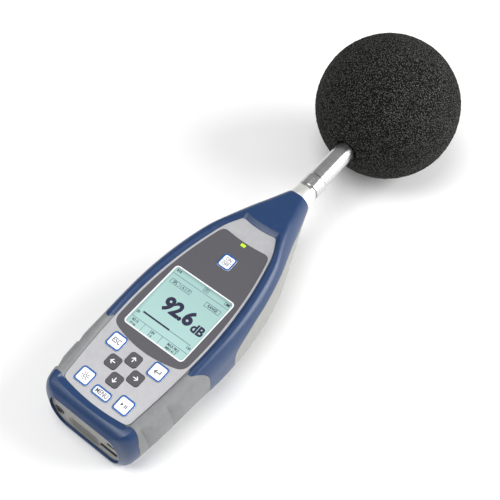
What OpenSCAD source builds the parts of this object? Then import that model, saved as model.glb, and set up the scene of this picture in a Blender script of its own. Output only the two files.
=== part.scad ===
// Hand-held class 1 sound level meter with a half-inch microphone under a foam ball.
// Every module below is drawn in the case's own frame: x to the right, y from the
// tail to the microphone, z out of the face, with the back at z = 0 and the tail at
// y = 0. lay_down() then rests the whole meter on its tail edge and its foam ball.

/* [Case] */
// Full width of the case at its widest
case_w = 69.2; // [68.6:0.1:69.8]
// Height of the face plate above the back
face_z = 33; // [32.8:0.1:33.2]
// Wall thickness of the bare case
wall = 2.2; // [2:0.1:2.4]
// Thickness of the rubber grips
grip_t = 1.4; // [1.2:0.1:1.6]
// Depth of the joint that lets the back panel sit flush
panel_z = 3; // [2.8:0.1:3.2]

/* [Face] */
// Thickness of the silver face plate
plate_t = 1.2; // [1:0.1:1.4]
// Width of the display window
lcd_w = 41; // [40:0.5:42]
// Height of the display window
lcd_h = 44; // [43:0.5:45]
// Distance from the tail to the middle of the display
lcd_y = 77.5; // [77:0.5:78]

/* [Keys] */
// Side gap between a key and its hole
key_gap = 0.15; // [0.1:0.05:0.2]
// How far a key goes down
key_travel = 0.4; // [0.3:0.05:0.4]
// How far a key stands above the plate
key_proud = 0.3; // [0.2:0.05:0.4]

/* [Microphone] */
// Diameter of the preamplifier tube
tube_d = 12.7; // [12.6:0.05:12.8]
// Height of the tube's axis above the back
stem_z = 20; // [19.5:0.1:20.5]
// Distance from the tail to the end of the neck
neck_y = 180.5; // [180:0.5:181]
// Diameter of the foam windscreen
ball_d = 90; // [86:1:94]
// Distance from the tail to the middle of the foam ball
ball_y = 272.5; // [270:0.5:275]
// Radial clearance between the tube and the foam
foam_gap = 0.1; // [0.05:0.05:0.15]

/* [Battery bay] */
// Diameter of one AA cell
cell_d = 14.3; // [14:0.1:14.4]
// Length of one AA cell without its nub
cell_l = 49.2; // [49:0.1:49.4]
// Distance between neighbouring cells
cell_pitch = 15.1; // [15:0.1:15.2]
// Width of the battery door
door_w = 51.2; // [50:0.2:51.4]
// Length of the battery door
door_l = 64; // [63.6:0.2:64.4]

/* [Hidden] */
$fn = 48;

eps = 0.01;
widen = case_w / 69.2;

// Cross-sections of the case along y, at the nominal width:
// [y, half width, height of the widest point, half width of the flat top,
//  top, half width of the flat bottom, bottom, fullness below the widest point]
CASE = [
  [0,      24.5, 17, 17.0, 30.5, 15, 2.5,  0.55],
  [2.5,    28.6, 18, 22.0, 33.2, 17, 0,    0.55],
  [7,      31.0, 20, 25.0, 35.0, 18, 0,    0.52],
  [20,     33.2, 22, 26.2, 34.2, 20, 0,    0.50],
  [36,     34.1, 22, 27.4, 34.2, 22, 0,    0.55],
  [52,     34.3, 22, 28.4, 34.2, 24, 0,    0.60],
  [68,     34.6, 22, 28.9, 34.2, 27, 0,    0.72],
  [84,     34.6, 22, 28.6, 34.2, 28, 0,    0.72],
  [100,    33.4, 22, 27.2, 34.2, 27, 0,    0.74],
  [116,    30.9, 22, 24.6, 34.2, 24.8, 0,  0.72],
  [132,    26.8, 22, 20.6, 34.4, 20, 0.8,  0.70],
  [146,    21.6, 21, 13.5, 34.8, 13.5, 3,  0.65],
  [158,    16.9, 20, 9,    33.4, 8,  6,    0.60],
  [168,    12.8, 20, 6,    31,   4,  9,    0.55],
  [neck_y, 8,    20, 2,    28,   1,  12,   0.55]
];
CROWN = 0.55;
END_LEAN = 2;
END_LEAN_H = 34;
END_LEAN_Y = 16;
end_angle = atan(END_LEAN / END_LEAN_H);

CASE_YS = [0, 0.6, 1.4, 2.5, 4.5, 7, 10, 14, 20, 28, 36, 44, 52, 60, 68, 76, 84, 92, 100,
           108, 116, 124, 132, 139, 146, 152, 158, 163, 168, 174, neck_y];
GRIP_YS = [4.5, 7, 10, 14, 20, 28, 36, 44, 52, 60, 68];
CAVITY_YS = [4, 7, 12, 20, 36, 52, 62, 70, 84, 100, 116, 132, 146, 156];

// Half width of the face plate along y
PLATE = [[13, 22.4], [36, 24.7], [60, 26.1], [77, 26.2], [94, 25.1], [111, 22.8],
         [128, 19.1], [137, 16.3], [146, 11.4]];
plate_bottom = 13;
plate_top = 146;
plate_bow = 2.1;
plate_dip = 1.2;
bezel_side = 1.35;
bezel_bottom = 52.9;
bezel_top = 134.4;
bezel_bow = 4.5;
bezel_dip = 1.4;
bezel_corner = 3.5;
dish_mid = 80;
dish_lip = 0.45;
dish_slope = 1.56;
dish_h = 5;
dish_foot = face_z - 0.15;
ledge = 1.6;
plate_gap = 0.1;

// Keys: [x, y, width, height]
K_ON    = [0, 117.15, 8.6, 9.2];
K_ESC   = [-14.35, 44.3, 9.6, 9.4];
K_ENTER = [14.35, 44.3, 9.6, 9.4];
K_LIGHT = [-13.44, 19.8, 9.5, 9.4];
K_RUN   = [13.44, 19.8, 9.5, 9.4];
K_MENU  = [0, 17.75, 11.5, 5.85];
K_UP    = [0, 41.7, 7.6, 7.6];
K_DOWN  = [0, 27.3, 7.6, 7.6];
K_LEFT  = [-7.84, 34.5, 7.6, 7.6];
K_RIGHT = [7.84, 34.5, 7.6, 7.6];
PLATE_KEYS = [K_ESC, K_ENTER, K_LIGHT, K_RUN, K_MENU, K_UP, K_DOWN, K_LEFT, K_RIGHT];
KEYS = concat([K_ON], PLATE_KEYS);
key_r = 1.6;
flange_t = 0.6;
flange_w = 0.8;
led_pos = [0, 131.1];
led_size = [3, 1.8];

// Heights inside the case, from the back up
plate_z = face_z - plate_t;
front_board_z = 24.8;
board_t = 1.4;
board_top = front_board_z + board_t;
switch_top = board_top + 3.3;
LCD_STACK = [43, 46];
lcd_frame_w = 1;
main_board_z = 21.7;
cell_z = 13.4;
cell_y0 = 29.5;
tray_top = 21.4;
tray_foot = 10;
tray_w = 54.8;
tray_end = 7.9;
reach = 40;

// Battery door
door_t = 2;
door_y0 = 20.5;
door_gap = 0.3;
door_pin_z = door_t / 2;

// Side outline of the grip
grip_y0 = 9;
grip_y1 = 61;
grip_lobe_r = 11;
grip_in_x = 27.9;
grip_top_in_x = 18;
grip_top_z = 20;

// Screws, tripod bush
SCREWS = [[25.9, 94], [-25.9, 94], [21.5, 121], [-21.5, 121]];
screw_r = 1.5;
screw_head_r = 2.8;
screw_head_h = 1.8;
screw_sink = 0.8;
boss_r = 3.2;
boss_top = 30.4;
boss_foot = 5;
tripod_y = 106;
tripod_l = 8;
tripod_r = 2.6;
tripod_out_r = 4.5;

// Tail panel features: [x, height up the panel]
panel_t = 2;
panel_back = 1.6;
JACK = [-19.5, 14];
jack_r = 1.8;
jack_block = 7;
jack_l = 14;
DATA = [-2, 10.5];
DATA_SIZE = [22, 10];
DATA_CORE = [18, 7];
data_l = 10;
rib_pitch = 2.2;
USB = [18, 19];
USB_SIZE = [7.4, 3.4];
CARD = [15.6, 13];
CARD_SIZE = [11.4, 1.4];
card_out = 0.8;
card_l = 15;
card_w = 11;
card_t = 0.9;
socket_gap = 0.12;

// Stem, along y from the end of the neck
tube_r = tube_d / 2;
collar_l = 8.5;
collar_r = 7.4;
plug_r = 4.6;
plug_gap = 0.05;
ring_y0 = neck_y + 10;
ring_l = 9;
ring_r = 6.9;
ring_foot = 1.4;
plug_y = 170.3;
socket_y = 158;
socket_l = 12;
pin_circle_r = 2.4;
shank_r = 5.6;
tube_end = 262;
tube_wall = 1;
mic_l = 14;
mic_r = 6.6;
grid_l = 3;
foam_bore = 53;
neck_bore_r = 5.2;
neck_fit = 0.05;

// ---- Resting pose ----
ball_r = ball_d / 2;
function tail_low(a) = min([for (y = CASE_YS) if (y <= 10) y * sin(a) + ease(CASE, y)[6] * cos(a)]);
function rest_angle(low) = asin((ball_r + low) / norm([ball_y, stem_z])) - atan2(stem_z, ball_y);
lie_angle = rest_angle(tail_low(rest_angle(tail_low(5))));
lie_lift = tail_low(lie_angle);
tail_edge = min([for (y = CASE_YS) if (y <= 10)
                 for (p = ring_points(y, 0)) p[1] * cos(lie_angle) - p[2] * sin(lie_angle)]);
ball_edge = ball_y * cos(lie_angle) - stem_z * sin(lie_angle) + ball_r;
lie_mid = (tail_edge + ball_edge) / 2;

module lay_down() {
  translate([0, -lie_mid, -lie_lift]) rotate([lie_angle, 0, 0]) children();
}

// ---- Curves ----
function span(tab, y) = max([for (i = [0:len(tab) - 2]) if (i == 0 || y >= tab[i][0]) i]);
function ease(tab, y) =
  let (i = span(tab, y),
       a = tab[max(i - 1, 0)],
       b = tab[i],
       c = tab[i + 1],
       d = tab[min(i + 2, len(tab) - 1)],
       h = c[0] - b[0],
       u = (y - b[0]) / h,
       p = (c - a) / (c[0] - a[0]) * h,
       q = (d - b) / (d[0] - b[0]) * h)
  (2*u*u*u - 3*u*u + 1) * b + (u*u*u - 2*u*u + u) * p
  + (3*u*u - 2*u*u*u) * c + (u*u*u - u*u) * q;
function bezier(a, b, c, d, t) =
  pow(1 - t, 3) * a + 3*pow(1 - t, 2)*t * b + 3*(1 - t)*t*t * c + t*t*t * d;
function slope(a, b, c, d, t) =
  pow(1 - t, 2) * (b - a) + 2*(1 - t)*t * (c - b) + t*t * (d - c);
function inward(v) = [-v[1], v[0]] / norm(v);
function shifted(a, b, c, d, t, inset) =
  bezier(a, b, c, d, t) + inset * inward(slope(a, b, c, d, t));

// One half of a cross-section, from the flat bottom round to the flat top, moved
// inwards by inset
function half_section(y, inset, n = 6) =
  let (r = ease(CASE, y),
       w = r[1] * widen,
       zw = r[2],
       low = [r[5], r[6]],
       low2 = [r[5] + r[7] * (w - r[5]), r[6]],
       wide1 = [w, zw - r[7] * (zw - r[6])],
       wide = [w, zw],
       wide2 = [w, zw + CROWN * (r[4] - zw)],
       top1 = [r[3] + CROWN * (w - r[3]), r[4]],
       top = [r[3], r[4]])
  concat([for (i = [0:n]) shifted(low, low2, wide1, wide, i / n, inset)],
         [for (i = [1:n]) shifted(wide, wide2, top1, top, i / n, inset)]);
function lean(y, z) = END_LEAN * z / END_LEAN_H * max(0, 1 - y / END_LEAN_Y);
function ring_points(y, inset, ceiling = 99, n = 6) =
  let (h = half_section(y, inset, n))
  concat([for (p = h) [p[0], y + lean(y, p[1]), min(p[1], ceiling)]],
         [for (i = [len(h) - 1:-1:0]) [-h[i][0], y + lean(y, h[i][1]), min(h[i][1], ceiling)]]);

// Skin through rings of equal length
module loft(rings) {
  n = len(rings[0]);
  m = len(rings);
  sides = [for (j = [0:m - 2]) for (i = [0:n - 1]) for (k = [0, 1])
           let (a = j*n + i, b = j*n + (i + 1) % n, c = b + n, d = a + n)
           k == 0 ? [a, b, c] : [a, c, d]];
  first = [for (i = [n - 1:-1:0]) i];
  last = [for (i = [0:n - 1]) (m - 1)*n + i];
  polyhedron(points = [for (r = rings) for (p = r) p], faces = concat(sides, [first, last]));
}
module case_solid(inset = 0, ys = CASE_YS) {
  loft([for (y = ys) ring_points(y, inset)]);
}
function cavity_wall(y) = wall + (grip_t - 0.5) * max(0, min(1, (70 - y) / 8));
module cavity() {
  loft([for (y = CAVITY_YS) ring_points(y, cavity_wall(y), plate_z - 1.6, 4)]);
}

// Outline of the plate or the bezel: sides follow the plate's table, the bottom
// bows towards the tail and the top dips in its middle
function bow(x, w, depth) = depth * pow(x / w, 2);
function face_outline(y0, y1, side, bow0, dip1, n = 14, m = 8) =
  let (w0 = ease(PLATE, y0)[1] - side, w1 = ease(PLATE, y1)[1] - side)
  concat([for (i = [0:n]) let (y = y0 + (y1 - y0)*i/n) [ease(PLATE, y)[1] - side, y]],
         [for (i = [1:m - 1]) let (x = w1 * (1 - 2*i/m)) [x, y1 - dip1 + bow(x, w1, dip1)]],
         [for (i = [n:-1:0]) let (y = y0 + (y1 - y0)*i/n) [side - ease(PLATE, y)[1], y]],
         [for (i = [1:m - 1]) let (x = w0 * (2*i/m - 1)) [x, y0 - bow0 + bow(x, w0, bow0)]]);
module plate_shape(inset = 0) {
  polygon(face_outline(plate_bottom + inset, plate_top - inset, inset, plate_bow, plate_dip));
}
function round_rect(w, h, r, n = 5) =
  [for (c = [[1, 1, 0], [-1, 1, 90], [-1, -1, 180], [1, -1, 270]]) for (i = [0:n])
   [c[0] * (w/2 - r) + r * cos(c[2] + 90*i/n), c[1] * (h/2 - r) + r * sin(c[2] + 90*i/n)]];
module bezel_shape(inset = 0) {
  offset(r = bezel_corner) offset(delta = -bezel_corner)
    polygon(face_outline(bezel_bottom + inset, bezel_top - inset, bezel_side + inset,
                         bezel_bow, bezel_dip));
}

// Joins freeform skins into one closed mesh at the size they are drawn
module one_skin() {
  resize([0, 0, 0]) children();
}

// Turns a side view [y, z] into a solid across the case
module across(points, x0, x1) {
  translate([x0, 0, 0]) rotate([90, 0, 90]) linear_extrude(height = x1 - x0) polygon(points);
}
// Turns a plan [x, h] on the leaning tail face into a solid; depths run outwards
module on_tail(y = 0) {
  translate([0, y, 0]) rotate([90 - end_angle, 0, 0]) children();
}
// Points +z along the stem, from a place along y
module on_stem(y) {
  translate([0, y, stem_z]) rotate([-90, 0, 0]) children();
}

// ---- Case parts ----
// Side view of the light grey back, which rises towards the neck
BACK_SIDE = [[80.6, -1], [80.6, 12], [82.5, 20.5], [86, 23.3], [92, 25.2], [101, 26.8],
             [118, 27.6], [138, 27.6], [152, 25.8], [165, 22.3], [neck_y + 1, stem_z],
             [neck_y + 1, -1]];
back_panel_w = 27.6;
back_panel_y0 = 10;
back_panel_l = 73;
module back_region() {
  across(BACK_SIDE, -reach, reach);
  translate([-back_panel_w, back_panel_y0, -1])
    cube([2 * back_panel_w, back_panel_l, panel_z + 1]);
}
module grip_region(side) {
  outline = concat([[grip_y0, -1], [grip_y0 + 0.6, face_z - 8], [13.5, face_z + 3],
                    [grip_y1 - grip_lobe_r, face_z + 3]],
                   [for (a = [90:-15:0]) [grip_y1 - grip_lobe_r + grip_lobe_r * cos(a),
                                          face_z + 1.2 - grip_lobe_r * (1 - sin(a))]],
                   [[grip_y1, -1]]);
  intersection() {
    across(outline, side > 0 ? grip_in_x : -reach, side > 0 ? reach : -grip_in_x);
    cube([200, 200, 200], center = true);
  }
  intersection() {
    across(outline, side > 0 ? grip_top_in_x : -reach, side > 0 ? reach : -grip_top_in_x);
    translate([-reach, 0, grip_top_z]) cube([2 * reach, 100, reach]);
  }
}
// Grown copy of the plate's outline at height z
function dish_ring(grow, z) =
  [for (p = face_outline(plate_bottom, plate_top, 0, plate_bow, plate_dip))
   let (k = 1 + grow / norm([p[0], p[1] - dish_mid]))
   [p[0] * k, dish_mid + (p[1] - dish_mid) * k, z]];
module face_dish() {
  loft([dish_ring(dish_lip + dish_slope * dish_h, dish_foot + dish_h),
        dish_ring(dish_lip, dish_foot)]);
}
module plate_pocket() {
  translate([0, 0, plate_z]) linear_extrude(height = 6) plate_shape(-plate_gap);
}
module face_window() {
  translate([0, 0, plate_z - 4]) linear_extrude(height = 6) plate_shape(ledge);
}
module tail_outline(inset) {
  h = half_section(0.6, inset);
  polygon(concat([for (p = h) [p[0], p[1] / cos(end_angle)]],
                 [for (i = [len(h) - 1:-1:0]) [-h[i][0], h[i][1] / cos(end_angle)]]));
}
module tail_pocket() {
  on_tail() translate([0, 0, -panel_t - panel_back]) linear_extrude(height = 8) tail_outline(1.5);
  on_tail() translate([0, 0, -9]) linear_extrude(height = 10) tail_outline(3.5);
}
module neck_bore() {
  on_stem(150) cylinder(r = neck_bore_r, h = 40);
}
module screw_posts() {
  for (s = SCREWS) translate([s[0], s[1], boss_foot]) difference() {
    cylinder(r = boss_r, h = boss_top - boss_foot);
    translate([0, 0, -eps]) cylinder(r = screw_r, h = 9);
  }
}

module front_shell() {
  color([0.16, 0.29, 0.47]) lay_down() one_skin() {
    difference() {
      case_solid();
      cavity();
      back_region();
      face_dish();
      plate_pocket();
      face_window();
      tail_pocket();
      neck_bore();
      for (side = [-1, 1]) difference() {
        grip_region(side);
        case_solid(grip_t, GRIP_YS);
      }
    }
    screw_posts();
  }
}

module back_shell() {
  color([0.76, 0.76, 0.74]) lay_down() one_skin() difference() {
    union() {
      intersection() {
        difference() {
          case_solid();
          cavity();
        }
        back_region();
      }
      for (s = SCREWS) translate([s[0], s[1], 1.5]) cylinder(r = boss_r + 1, h = boss_foot - 1.5);
      translate([0, tripod_y, 1.5]) cylinder(r = tripod_out_r + 2, h = tripod_l);
    }
    neck_bore();
    translate([-door_w/2 - door_gap, door_y0 - 1 - door_gap, -1])
      cube([door_w + 2*door_gap, door_l + 2*door_gap, 6]);
    for (s = SCREWS) translate([s[0], s[1], -1]) {
      cylinder(r = screw_head_r + 0.2, h = 1 + screw_sink + screw_head_h);
      cylinder(r = screw_r + 0.2, h = 9);
    }
    translate([0, tripod_y, -1]) cylinder(r = tripod_out_r, h = tripod_l + 1);
  }
}

module grip(side) {
  color([0.58, 0.59, 0.60]) lay_down() one_skin() difference() {
    intersection() {
      difference() {
        case_solid(0, GRIP_YS);
        case_solid(grip_t, GRIP_YS);
      }
      grip_region(side);
    }
    face_dish();
    plate_pocket();
  }
}
module grip_left() { grip(-1); }
module grip_right() { grip(1); }

// ---- Face ----
module key_hole(k) {
  translate([k[0], k[1]]) polygon(round_rect(k[2] + 2*key_gap, k[3] + 2*key_gap, key_r));
}
module face_plate() {
  color([0.78, 0.78, 0.79]) lay_down() translate([0, 0, plate_z]) difference() {
    linear_extrude(height = plate_t) difference() {
      plate_shape();
      for (k = PLATE_KEYS) key_hole(k);
      key_hole(K_ON);
      translate(led_pos) square(led_size + [0.2, 0.2], center = true);
      translate([0, lcd_y]) square([lcd_w - 1, lcd_h - 1], center = true);
    }
    translate([0, 0, plate_t - 0.5]) linear_extrude(height = 1) bezel_shape(-0.02);
  }
}
module display_bezel() {
  color([0.38, 0.38, 0.40]) lay_down() translate([0, 0, face_z - 0.5]) linear_extrude(height = 0.5)
    difference() {
      bezel_shape();
      key_hole(K_ON);
      translate(led_pos) square(led_size + [0.2, 0.2], center = true);
      translate([0, lcd_y]) square([lcd_w + 0.1, lcd_h + 0.1], center = true);
    }
}
module lcd_window() {
  color([0.75, 0.88, 0.87, 0.5]) lay_down() translate([0, lcd_y, face_z - 0.5])
    linear_extrude(height = 0.4) polygon(round_rect(lcd_w, lcd_h, 0.5));
}
module lcd_frame() {
  color([0.7, 0.7, 0.72]) lay_down() translate([0, lcd_y, 0]) difference() {
    translate([0, 0, board_top]) linear_extrude(height = 5)
      square(LCD_STACK + 2*lcd_frame_w*[1, 1], center = true);
    translate([0, 0, board_top - 1]) linear_extrude(height = 5.4)
      square(LCD_STACK + [0.4, 0.4], center = true);
    translate([0, 0, front_board_z]) linear_extrude(height = 9) square(LCD_STACK - [3, 3], center = true);
  }
}
module lcd_module() {
  color([0.72, 0.85, 0.82]) lay_down() translate([0, lcd_y, board_top + 2.1])
    linear_extrude(height = 2.2) square(LCD_STACK, center = true);
}
module backlight() {
  color([0.93, 0.95, 0.93]) lay_down() translate([0, lcd_y, board_top + 0.1])
    linear_extrude(height = 1.9) square(LCD_STACK, center = true);
}
module status_led() {
  color([0.75, 0.92, 0.15]) lay_down() translate([led_pos[0], led_pos[1], board_top])
    linear_extrude(height = face_z + 0.1 - board_top) square(led_size, center = true);
}

// A key cap with the flange that keeps it under the plate, and its plunger
module key(k, tint) {
  flange_z = plate_z - flange_t - 0.12;
  plunger_z = switch_top + key_travel + 0.1;
  color(tint) lay_down() translate([k[0], k[1], 0]) {
    translate([0, 0, flange_z]) linear_extrude(height = face_z + key_proud - flange_z)
      polygon(round_rect(k[2], k[3], key_r));
    translate([0, 0, flange_z]) linear_extrude(height = flange_t)
      polygon(round_rect(k[2] + flange_w, k[3] + flange_w, key_r));
    translate([0, 0, plunger_z]) cylinder(r = 1.5, h = flange_z - plunger_z + eps);
  }
}
WHITE_KEY = [0.96, 0.96, 0.97];
DARK_KEY = [0.38, 0.38, 0.40];
module key_on_off() { key(K_ON, WHITE_KEY); }
module key_esc() { key(K_ESC, WHITE_KEY); }
module key_enter() { key(K_ENTER, WHITE_KEY); }
module key_up() { key(K_UP, DARK_KEY); }
module key_down() { key(K_DOWN, DARK_KEY); }
module key_left() { key(K_LEFT, DARK_KEY); }
module key_right() { key(K_RIGHT, DARK_KEY); }
module key_backlight() { key(K_LIGHT, WHITE_KEY); }
module key_menu() { key(K_MENU, WHITE_KEY); }
module key_run() { key(K_RUN, WHITE_KEY); }

// ---- Boards ----
module tact_switches() {
  color([0.2, 0.2, 0.22]) lay_down() for (k = KEYS) translate([k[0], k[1], board_top]) {
    translate([-2.2, -2.2, 0]) cube([4.4, 4.4, 2.6]);
    cylinder(r = 1.3, h = switch_top - board_top);
  }
}
module front_board() {
  color([0.08, 0.35, 0.2]) lay_down() translate([0, 0, front_board_z]) linear_extrude(height = board_t)
    polygon(face_outline(15, 136, 4.6, 0.8, 0.5));
}
module main_board() {
  color([0.06, 0.3, 0.18]) lay_down() translate([0, 0, main_board_z]) linear_extrude(height = board_t)
    polygon(face_outline(12, 140, 4.8, 0.5, 0.5));
}
module board_connector() {
  color([0.15, 0.15, 0.15]) lay_down() translate([-12, 109, main_board_z + board_t])
    cube([24, 4, front_board_z - main_board_z - board_t]);
}

// ---- Battery bay ----
CELLS = [for (i = [0:3]) [cell_y0 + i * cell_pitch, i % 2 == 0 ? 1 : -1]];
contact_x = 27;
contact_t = 0.4;
nub_l = 1.3;
module battery_tray() {
  color([0.16, 0.16, 0.17]) lay_down() difference() {
    translate([-tray_w/2, cell_y0 - tray_end, tray_foot])
      cube([tray_w, 3*cell_pitch + 2*tray_end, tray_top - tray_foot]);
    for (c = CELLS) translate([-contact_x, c[0], cell_z]) rotate([0, 90, 0])
      cylinder(r = cell_d/2 + 0.15, h = 2*contact_x);
    for (c = CELLS) translate([-contact_x, c[0] - 7, 0]) cube([2*contact_x, 14, cell_z]);
  }
}
module batteries() {
  color([0.15, 0.16, 0.2]) lay_down() for (c = CELLS) translate([0, c[0], cell_z]) rotate([0, 90 * c[1], 0])
    translate([0, 0, -contact_x + contact_t + nub_l + 1.4]) {
      cylinder(r = cell_d/2, h = cell_l);
      translate([0, 0, cell_l - eps]) cylinder(r = 2.75, h = nub_l);
    }
}
spring_l = 2.2;
module battery_contacts() {
  color([0.8, 0.78, 0.7]) lay_down() for (c = CELLS) translate([0, c[0], cell_z])
   rotate([0, 90 * c[1], 0]) {
    translate([-4.5, -4.5, contact_x - contact_t]) cube([9, 9, contact_t - 0.02]);
    translate([-4.5, -4.5, -contact_x + 0.02]) cube([9, 9, contact_t]);
    translate([0, 0, -contact_x + contact_t]) difference() {
      cylinder(r1 = 4.4, r2 = 3, h = spring_l);
      translate([0, 0, -eps]) cylinder(r1 = 3.6, r2 = 2.2, h = spring_l + 1);
    }
  }
}
module battery_door() {
  color([0.74, 0.74, 0.72]) lay_down() {
    difference() {
      intersection() {
        case_solid(0, [14, 20, 28, 36, 44, 52, 60, 68, 76, 84, 92]);
        translate([-door_w/2, door_y0, -1]) cube([door_w, door_l - 1, door_t + 1]);
      }
      for (i = [0:4]) translate([-8, door_y0 + 50 + 2*i, -0.5]) cube([16, 1, 1]);
    }
    for (x = [-door_w/2 + 0.5, door_w/2 - 8.5]) translate([x, door_y0, door_pin_z]) rotate([0, 90, 0])
      cylinder(r = door_pin_z, h = 8);
    translate([-4, door_y0 + door_l - 4, door_t - 0.2]) cube([8, 1.5, 2.2]);
  }
}

// ---- Tail ----
module tail_feature(pos) {
  on_tail() translate([pos[0], pos[1], 0]) children();
}
module data_shape(grow) {
  polygon(round_rect(DATA_SIZE[0] + grow, DATA_SIZE[1] + grow, 4.6));
}
module end_panel() {
  color([0.62, 0.62, 0.62]) lay_down() difference() {
    on_tail() translate([0, 0, -panel_t - panel_back]) linear_extrude(height = panel_t) difference() {
      tail_outline(1.6);
      translate(DATA) data_shape(0.1);
      translate(USB) polygon(round_rect(USB_SIZE[0] + 0.1, USB_SIZE[1] + 0.1, 0.8));
      translate(CARD) square(CARD_SIZE + [0.1, 0.1], center = true);
    }
    tail_feature(JACK) translate([0, 0, -9]) cylinder(r = 3.1, h = 12);
  }
}
module output_jack() {
  color([0.75, 0.75, 0.76]) lay_down() tail_feature(JACK) difference() {
    union() {
      translate([0, 0, -panel_t - panel_back]) cylinder(r = 3, h = panel_t + 0.4);
      translate([-jack_block/2, -jack_block/2, -jack_l])
        cube([jack_block, jack_block, jack_l - panel_t - panel_back]);
    }
    translate([0, 0, 1 - jack_l]) cylinder(r = jack_r, h = 20);
  }
}
module data_socket() {
  color([0.33, 0.33, 0.34]) lay_down() tail_feature(DATA) difference() {
    union() {
      translate([0, 0, -panel_t - panel_back]) linear_extrude(height = panel_t - 0.3) data_shape(0);
      translate([-DATA_CORE[0]/2, -DATA_CORE[1]/2, -data_l])
        cube([DATA_CORE[0], DATA_CORE[1], data_l - panel_t - panel_back]);
    }
    for (i = [-1.5:1:1.5])
      translate([-DATA_CORE[0]/2, i * rib_pitch - 0.5, -panel_t - panel_back + 0.8])
        cube([DATA_CORE[0], 1, 3]);
  }
}
module usb_socket() {
  color([0.7, 0.7, 0.72]) lay_down() tail_feature(USB) {
    difference() {
      translate([0, 0, -9]) linear_extrude(height = 9 - panel_back - 0.2)
        polygon(round_rect(USB_SIZE[0], USB_SIZE[1], 0.8));
      translate([0, 0, -8.4]) linear_extrude(height = 9)
        polygon(round_rect(USB_SIZE[0] - 0.7, USB_SIZE[1] - 0.7, 0.6));
    }
    translate([-2.6, -0.4, -8.8]) cube([5.2, 0.7, 6]);
  }
}
module card_socket() {
  color([0.6, 0.6, 0.62]) lay_down() tail_feature(CARD) difference() {
    translate([-7, -1.6, -19]) cube([14, 3.2, 19 - panel_t - panel_back]);
    translate([-card_w/2 - socket_gap, -card_t/2 - socket_gap, -18.5])
      cube([card_w + 2*socket_gap, card_t + 2*socket_gap, 30]);
  }
}
module memory_card() {
  color([0.12, 0.12, 0.13]) lay_down() tail_feature(CARD)
    translate([-card_w/2, -card_t/2, -panel_back + card_out - card_l]) cube([card_w, card_t, card_l]);
}

// ---- Fasteners ----
module tripod_insert() {
  color([0.72, 0.6, 0.33]) lay_down() translate([0, tripod_y, 0.3]) difference() {
    cylinder(r = tripod_out_r, h = tripod_l - 0.3);
    translate([0, 0, -1]) cylinder(r = tripod_r, h = tripod_l - 0.3);
  }
}
module case_screws() {
  color([0.5, 0.5, 0.52]) lay_down() for (s = SCREWS) translate([s[0], s[1], screw_sink]) difference() {
    union() {
      cylinder(r = screw_head_r, h = screw_head_h);
      cylinder(r = screw_r, h = 12);
    }
    translate([0, 0, -eps]) cylinder(r = 1.4, h = 1, $fn = 6);
  }
}

// ---- Neck and microphone, from the case outwards ----
module neck_collar() {
  color([0.86, 0.86, 0.84]) lay_down() on_stem(neck_y - 6) difference() {
    union() {
      cylinder(r = neck_bore_r - neck_fit, h = 7);
      translate([0, 0, 6]) cylinder(r1 = collar_r, r2 = 6.5, h = collar_l);
    }
    translate([0, 0, -1]) cylinder(r = plug_r + plug_gap, h = 30);
  }
}
module preamp_socket() {
  color([0.8, 0.7, 0.4]) lay_down() on_stem(socket_y) difference() {
    cylinder(r = neck_bore_r - neck_fit, h = socket_l);
    for (a = [45:90:315]) rotate(a) translate([pin_circle_r, 0, 8]) cylinder(r = 0.65, h = 9);
    translate([0, 0, 9]) cylinder(r = 0.9, h = 9);
  }
}
module preamp_lead() {
  color([0.12, 0.12, 0.12]) lay_down() {
    on_stem(socket_y - 22) cylinder(r = 1, h = 22);
    translate([0, 137.5, stem_z]) cylinder(r = 0.7, h = main_board_z - stem_z);
  }
}
module preamp_plug() {
  color([0.85, 0.84, 0.8]) lay_down() on_stem(plug_y) {
    translate([0, 0, 1.2]) cylinder(r = plug_r, h = ring_y0 + 1 - plug_y - 1.2);
    for (a = [45:90:315]) rotate(a) translate([pin_circle_r, 0, -3.8]) cylinder(r = 0.5, h = 6);
    translate([0, 0, -2.4]) cylinder(r = 0.7, h = 4);
  }
}
module preamp_tube() {
  color([0.8, 0.8, 0.8]) lay_down() on_stem(ring_y0 + 1) difference() {
    union() {
      cylinder(r = shank_r, h = ring_l - 1);
      translate([0, 0, ring_l - 1]) cylinder(r = tube_r, h = tube_end - ring_y0 - ring_l);
    }
    translate([0, 0, 3]) cylinder(r = tube_r - tube_wall - 0.2, h = 100);
  }
}
module preamp_board() {
  color([0.08, 0.35, 0.2]) lay_down() translate([-4.6, ring_y0 + 6, stem_z - 0.6]) cube([9.2, 60, 1.2]);
}
module coupling_ring() {
  color([0.83, 0.83, 0.82]) lay_down() on_stem(ring_y0 - ring_foot) difference() {
    union() {
      cylinder(r = 6.5, h = 1.2);
      translate([0, 0, 1.2]) cylinder(r = 5.95, h = 0.8);
      translate([0, 0, 2]) cylinder(r = ring_r, h = ring_l - 1);
      translate([0, 0, ring_l + 1]) cylinder(r1 = ring_r, r2 = ring_r - 0.3, h = 0.35);
    }
    translate([0, 0, -1]) cylinder(r = shank_r + plug_gap, h = 20);
  }
}
mic_y0 = tube_end + 0.1;
module mic_housing() {
  color([0.78, 0.78, 0.79]) lay_down() on_stem(mic_y0) difference() {
    cylinder(r = mic_r, h = mic_l);
    translate([0, 0, 1]) cylinder(r = mic_r - 0.8, h = mic_l);
    translate([0, 0, -1]) cylinder(r = 3, h = 3);
  }
}
module mic_insulator() {
  color([0.92, 0.9, 0.82]) lay_down() on_stem(mic_y0 + 4) difference() {
    cylinder(r = mic_r - 0.8, h = 2);
    translate([0, 0, -1]) cylinder(r = 1.2, h = 4);
  }
}
module mic_backplate() {
  color([0.75, 0.72, 0.6]) lay_down() on_stem(mic_y0) {
    translate([0, 0, 0.6]) cylinder(r = 1.2, h = 10.3);
    translate([0, 0, 10.8]) cylinder(r = 4, h = 2.4);
  }
}
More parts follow.
